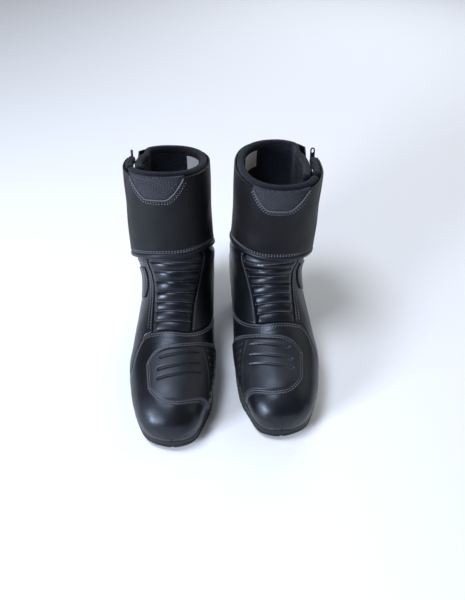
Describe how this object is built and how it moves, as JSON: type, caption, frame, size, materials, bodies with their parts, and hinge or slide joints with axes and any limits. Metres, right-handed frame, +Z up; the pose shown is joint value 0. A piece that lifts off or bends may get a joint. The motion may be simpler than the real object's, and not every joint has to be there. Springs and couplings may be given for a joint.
{
  "type": "riding boots",
  "caption": "Pair of mid-height touring boots with padded collars, ribbed instep bellows, side zips under hook-and-loop flaps, shift pads and cupped rubber soles.",
  "frame": {"origin": "on the ground under the middle of the pair's bounding box", "axes": "+Z up, -Y toward the toes, the wearer's right boot at -X and the left boot at +X"},
  "size_m": [0.2496, 0.3098, 0.292],
  "materials": {
    "rubber": "matte moulded black rubber",
    "pad_rubber": "dark slate moulded rubber with a satin surface",
    "leather": "smooth black leather with a semi-gloss finish",
    "microfibre": "plain dark grey matte coated leather",
    "mesh": "coarse diagonal woven mesh",
    "reflective": "grey reflective piping",
    "collar_knit": "padded dark navy knit",
    "lining": "navy mesh lining",
    "footbed": "light brown footbed cover",
    "board": "brown fibre board",
    "stiffener": "moulded black stiffener",
    "hook_tape": "black hook-and-loop tape",
    "zip_tape": "black woven tape",
    "zip_chain": "black moulded coil",
    "zip_metal": "black painted zip hardware"
  },
  "bodies": {
    "right_boot": {"right_outsole": "rubber", "right_midsole": "rubber", "right_insole_board": "board", "right_footbed": "footbed", "right_toe_puff": "stiffener", "right_heel_counter": "stiffener", "right_vamp": "leather", "right_shift_pad": "pad_rubber", "right_quarter_inner": "leather", "right_quarter_outer": "leather", "right_heel_cap": "leather", "right_bellows": "leather", "right_rear_bellows": "leather", "right_ankle_guard": "leather", "right_zip_end_tab": "leather", "right_shin_panel": "microfibre", "right_mesh_insert": "mesh", "right_insert_piping": "reflective", "right_rear_panel": "leather", "right_loop_strip": "hook_tape", "right_collar": "collar_knit", "right_lining": "lining", "right_zip_tape": "zip_tape", "right_zip_chain": "zip_chain"},
    "left_boot": {"left_outsole": "rubber", "left_midsole": "rubber", "left_insole_board": "board", "left_footbed": "footbed", "left_toe_puff": "stiffener", "left_heel_counter": "stiffener", "left_vamp": "leather", "left_shift_pad": "pad_rubber", "left_quarter_inner": "leather", "left_quarter_outer": "leather", "left_heel_cap": "leather", "left_bellows": "leather", "left_rear_bellows": "leather", "left_ankle_guard": "leather", "left_zip_end_tab": "leather", "left_shin_panel": "microfibre", "left_mesh_insert": "mesh", "left_insert_piping": "reflective", "left_rear_panel": "leather", "left_loop_strip": "hook_tape", "left_collar": "collar_knit", "left_lining": "lining", "left_zip_tape": "zip_tape", "left_zip_chain": "zip_chain"},
    "right_flap": {"right_closure_flap": "microfibre", "right_flap_collar": "collar_knit", "right_hook_strip": "hook_tape"},
    "right_slider": {"right_zip_slider": "zip_metal"},
    "right_pull": {"right_zip_pull": "zip_metal"},
    "left_flap": {"left_closure_flap": "microfibre", "left_flap_collar": "collar_knit", "left_hook_strip": "hook_tape"},
    "left_slider": {"left_zip_slider": "zip_metal"},
    "left_pull": {"left_zip_pull": "zip_metal"}
  },
  "joints": [
    {"name": "left_boot_lift", "type": "slide", "parent": "right_boot", "child": "left_boot", "axis": [0, 0, 1], "range_m": [0, 0.3]},
    {"name": "right_flap_hinge", "type": "hinge", "parent": "right_boot", "child": "right_flap", "pos_m": [-0.11824, 0.03517, 0.15729], "axis": [-0.0018, 0.0681, 0.9977], "range_deg": [0, 120]},
    {"name": "right_zip_slide", "type": "slide", "parent": "right_boot", "child": "right_slider", "axis": [0.0213, -0.4852, -0.8741], "range_m": [0, 0.088]},
    {"name": "right_pull_hinge", "type": "hinge", "parent": "right_slider", "child": "right_pull", "pos_m": [-0.11729, 0.10085, 0.24719], "axis": [-0.1848, -0.8612, 0.4735], "range_deg": [0, 125]},
    {"name": "left_flap_hinge", "type": "hinge", "parent": "left_boot", "child": "left_flap", "pos_m": [0.11344, 0.04772, 0.15489], "axis": [-0.0143, 0.1057, -0.9943], "range_deg": [0, 120]},
    {"name": "left_zip_slide", "type": "slide", "parent": "left_boot", "child": "left_slider", "axis": [0.0045, -0.327, -0.945], "range_m": [0, 0.088]},
    {"name": "left_pull_hinge", "type": "hinge", "parent": "left_slider", "child": "left_pull", "pos_m": [0.10854, 0.0965, 0.25487], "axis": [-0.2663, 0.9105, -0.3163], "range_deg": [0, 125]}
  ]
}
